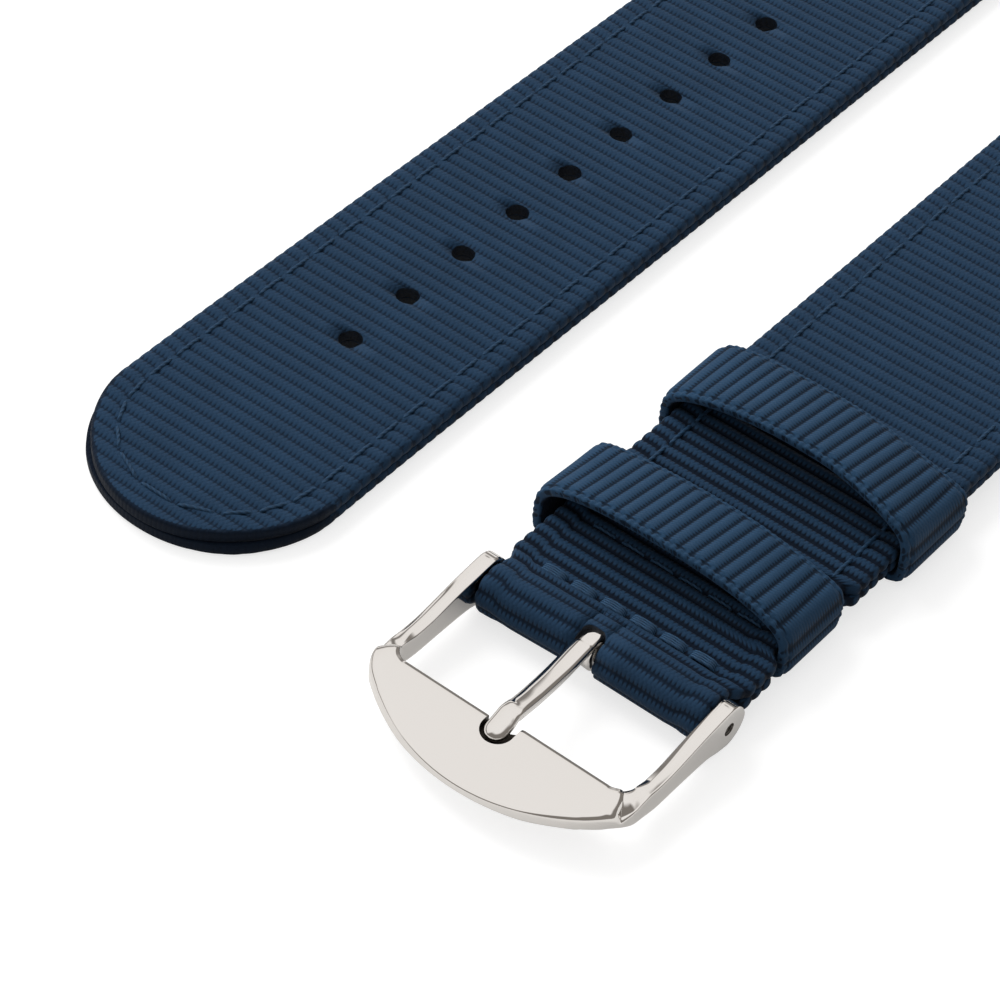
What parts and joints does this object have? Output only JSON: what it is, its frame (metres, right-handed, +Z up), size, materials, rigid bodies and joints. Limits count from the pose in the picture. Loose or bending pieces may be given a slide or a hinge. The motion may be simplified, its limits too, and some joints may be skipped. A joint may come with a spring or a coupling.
{
  "type": "watch strap",
  "caption": "Two-piece ribbed nylon watch strap: a tail half with punched holes, and a buckle half with keepers and a polished pin buckle, on spring bars.",
  "frame": {"origin": "middle of the footprint of both halves lying side by side, at ground height", "axes": "+X across the strap from the tail half to the buckle half, +Y along it from tip and buckle towards the lug bars, +Z up from the wrist's side to the outer side"},
  "size_m": [0.054, 0.1268, 0.0074],
  "materials": {
    "navy_nylon_webbing": "ribbed woven nylon, matt with a faint sheen",
    "navy_polyester_thread": "twisted polyester sewing thread",
    "polished_stainless_steel": "cast and mirror polished",
    "turned_stainless_steel": "turned, satin",
    "spring_steel_wire": "drawn wire"
  },
  "bodies": {
    "strap": {"tail_webbing": "navy_nylon_webbing", "buckle_webbing": "navy_nylon_webbing", "fixed_keeper": "navy_nylon_webbing", "buckle_bar_barrel": "turned_stainless_steel", "tail_bar_barrel": "turned_stainless_steel", "head_bar_barrel": "turned_stainless_steel", "buckle_bar_spring": "spring_steel_wire", "tail_bar_spring": "spring_steel_wire", "head_bar_spring": "spring_steel_wire", "tail_edge_seam": "navy_polyester_thread", "tail_lug_seam": "navy_polyester_thread", "head_edge_seam_left": "navy_polyester_thread", "head_edge_seam_right": "navy_polyester_thread", "head_lug_seam": "navy_polyester_thread", "fold_seam": "navy_polyester_thread", "fixed_keeper_seam_front": "navy_polyester_thread", "fixed_keeper_seam_back": "navy_polyester_thread"},
    "buckle_frame": {"buckle_frame": "polished_stainless_steel"},
    "buckle_tongue": {"buckle_tongue": "polished_stainless_steel"},
    "free_keeper": {"free_keeper": "navy_nylon_webbing", "free_keeper_seam": "navy_polyester_thread"},
    "buckle_bar_plunger_left": {"buckle_bar_plunger_left": "turned_stainless_steel"},
    "buckle_bar_plunger_right": {"buckle_bar_plunger_right": "turned_stainless_steel"},
    "tail_bar_plunger_left": {"tail_bar_plunger_left": "turned_stainless_steel"},
    "tail_bar_plunger_right": {"tail_bar_plunger_right": "turned_stainless_steel"},
    "head_bar_plunger_left": {"head_bar_plunger_left": "turned_stainless_steel"},
    "head_bar_plunger_right": {"head_bar_plunger_right": "turned_stainless_steel"}
  },
  "joints": [
    {"name": "buckle_frame_swing", "type": "hinge", "parent": "strap", "child": "buckle_frame", "pos_m": [0.01596, -0.04732, 0.00208], "axis": [-1, 0, 0], "range_deg": [0, 45]},
    {"name": "buckle_tongue_swing", "type": "hinge", "parent": "buckle_frame", "child": "buckle_tongue", "pos_m": [0.01596, -0.04732, 0.00208], "axis": [-1, 0, 0], "range_deg": [0, 50]},
    {"name": "free_keeper_slide", "type": "slide", "parent": "strap", "child": "free_keeper", "axis": [0, 1, 0], "range_m": [-0.006, 0.0415]},
    {"name": "buckle_bar_plunger_left_press", "type": "slide", "parent": "strap", "child": "buckle_bar_plunger_left", "axis": [1, 0, 0], "range_m": [0, 0.00115], "stiffness_N_per_m": 400, "springref_m": -0.0015, "deforming": ["buckle_bar_spring"]},
    {"name": "buckle_bar_plunger_right_press", "type": "slide", "parent": "strap", "child": "buckle_bar_plunger_right", "axis": [-1, 0, 0], "range_m": [0, 0.00115], "stiffness_N_per_m": 400, "springref_m": -0.0015, "deforming": ["buckle_bar_spring"]},
    {"name": "tail_bar_plunger_left_press", "type": "slide", "parent": "strap", "child": "tail_bar_plunger_left", "axis": [1, 0, 0], "range_m": [0, 0.00115], "stiffness_N_per_m": 400, "springref_m": -0.0015, "deforming": ["tail_bar_spring"]},
    {"name": "tail_bar_plunger_right_press", "type": "slide", "parent": "strap", "child": "tail_bar_plunger_right", "axis": [-1, 0, 0], "range_m": [0, 0.00115], "stiffness_N_per_m": 400, "springref_m": -0.0015, "deforming": ["tail_bar_spring"]},
    {"name": "head_bar_plunger_left_press", "type": "slide", "parent": "strap", "child": "head_bar_plunger_left", "axis": [1, 0, 0], "range_m": [0, 0.00115], "stiffness_N_per_m": 400, "springref_m": -0.0015, "deforming": ["head_bar_spring"]},
    {"name": "head_bar_plunger_right_press", "type": "slide", "parent": "strap", "child": "head_bar_plunger_right", "axis": [-1, 0, 0], "range_m": [0, 0.00115], "stiffness_N_per_m": 400, "springref_m": -0.0015, "deforming": ["head_bar_spring"]}
  ]
}
